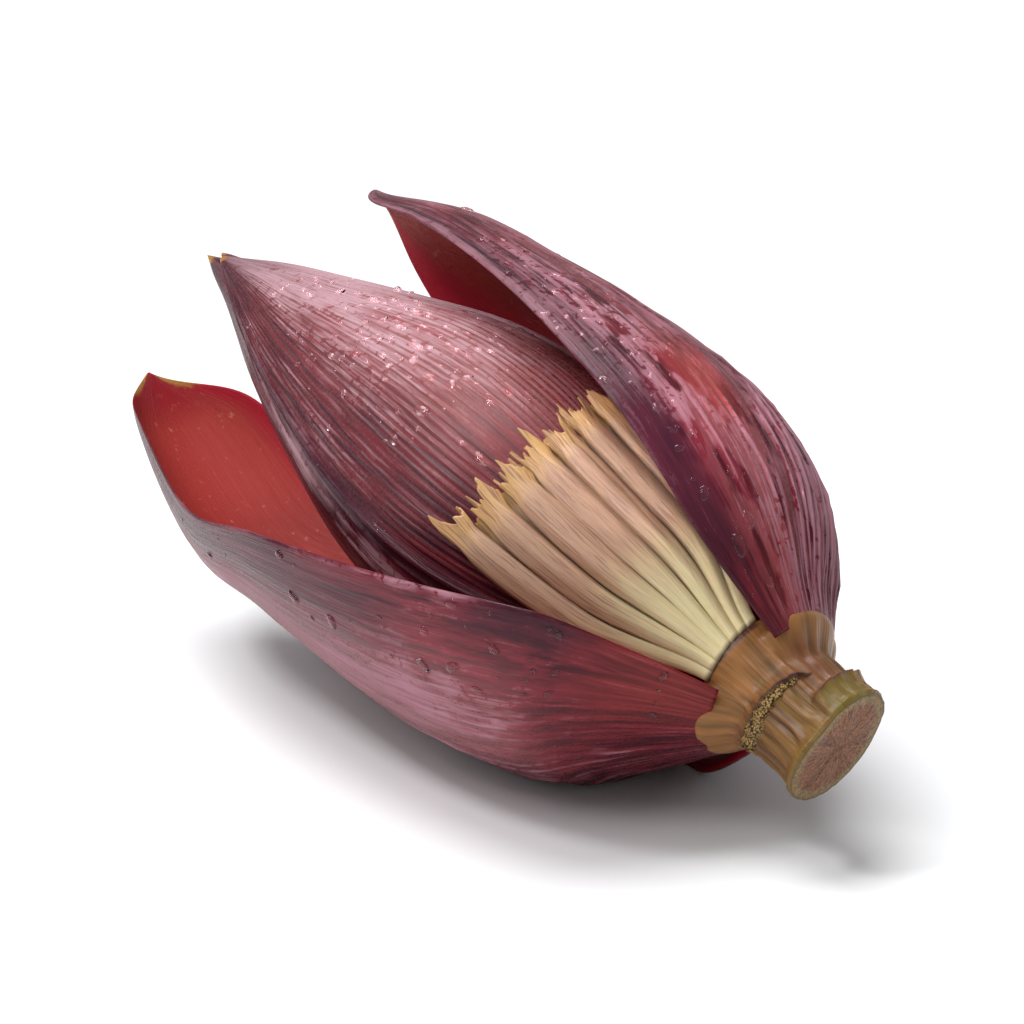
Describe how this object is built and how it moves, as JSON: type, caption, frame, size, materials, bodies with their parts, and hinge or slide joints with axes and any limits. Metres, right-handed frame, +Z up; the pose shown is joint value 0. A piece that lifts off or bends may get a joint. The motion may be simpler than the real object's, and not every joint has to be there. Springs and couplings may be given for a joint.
{
  "type": "banana blossom",
  "caption": "Cut banana blossom lying on its side: pointed closed bud, peeled-back cupped bracts, fans of slender young flowers and a short ridged stalk.",
  "frame": {"origin": "on the surface the blossom lies on, under the middle of its bounding box", "axes": "+Z up; +X towards the cut end of the stalk, along the length; the bud's tip points to -X and rises; the flowers face -Y and up"},
  "size_m": [0.307, 0.1494, 0.1472],
  "materials": {
    "bract": "waxy mauve-grey bloom rubbed through to wet dark crimson in places, finely ribbed",
    "bud": "satin, waxy, dusty rose with fine lengthwise ribs",
    "flower": "satin, cream to dusty pink with dry yellow-orange tips",
    "stalk": "fibrous, olive brown, moist, with a pale brown cut face"
  },
  "bodies": {
    "root": {"peduncle": "stalk", "bud_heart": "bud", "bud_bract_upper": "bud", "bud_bract_front": "bud", "outer_bract_right": "bract", "outer_bract_left": "bract", "outer_bract_under": "bract", "flower_01": "flower", "flower_02": "flower", "flower_03": "flower", "flower_04": "flower", "flower_05": "flower", "flower_06": "flower", "flower_07": "flower", "flower_08": "flower", "flower_09": "flower", "flower_10": "flower", "flower_11": "flower", "flower_12": "flower", "flower_13": "flower"}
  },
  "joints": []
}
